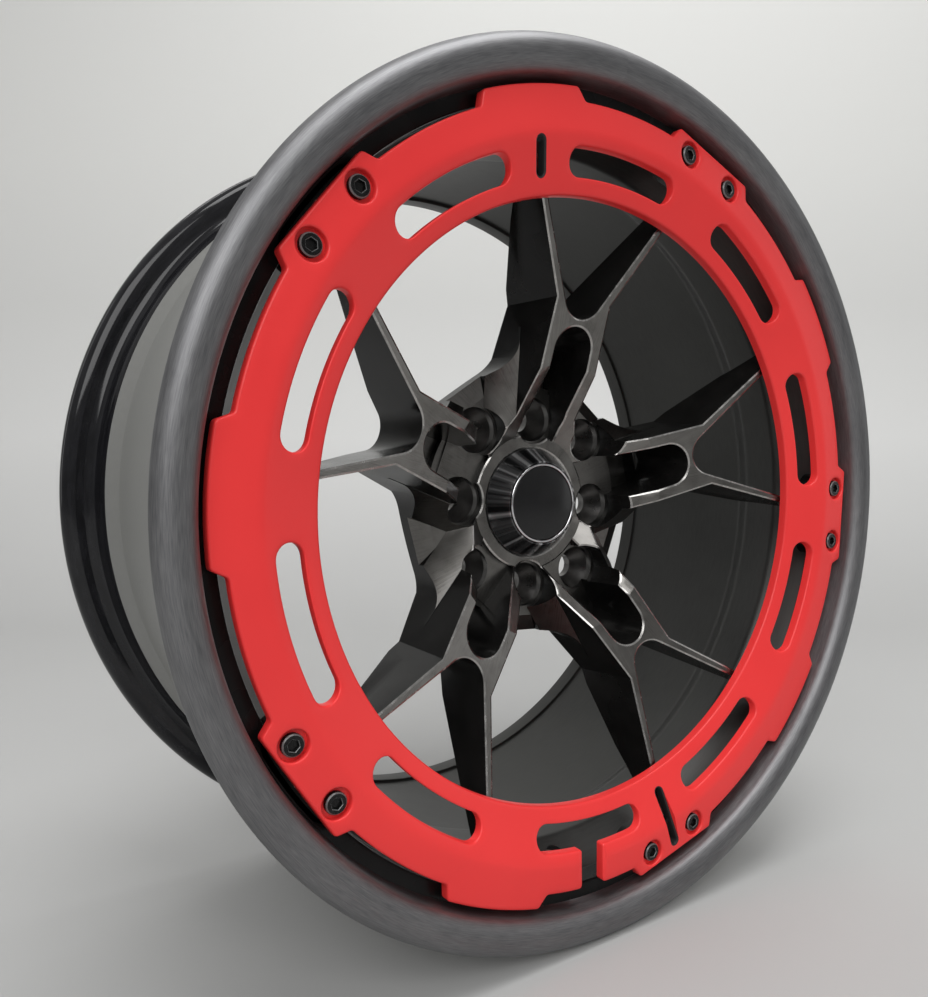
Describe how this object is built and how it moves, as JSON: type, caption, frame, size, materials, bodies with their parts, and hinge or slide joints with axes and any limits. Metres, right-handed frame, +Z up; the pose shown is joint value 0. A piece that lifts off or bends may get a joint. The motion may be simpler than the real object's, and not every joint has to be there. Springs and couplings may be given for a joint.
{
  "type": "wheel rim",
  "caption": "Wheel rim with a stepped barrel, a rounded front lip, Y-shaped spokes that run back to a deep hub, a screwed-on slotted face ring and a conical centre cap.",
  "frame": {"origin": "centre of the flat hub face that meets the vehicle's hub", "axes": "+Y along the wheel's axis towards the vehicle, so the outboard face looks to -Y; +Z up as the wheel stands, +X to the right as seen from outside"},
  "size_m": [0.4711, 0.2157, 0.4712],
  "materials": {
    "wheel_metal": "gloss",
    "ring_red": "satin",
    "black_steel": "satin",
    "dark_chrome": "gloss",
    "cap_black": "gloss",
    "bright_chrome": "polished"
  },
  "bodies": {
    "root": {"wheel": "wheel_metal", "face_ring": "ring_red", "ring_screws": "black_steel", "cap_body": "dark_chrome", "cap_disc": "cap_black", "cap_bezel": "bright_chrome"}
  },
  "joints": []
}
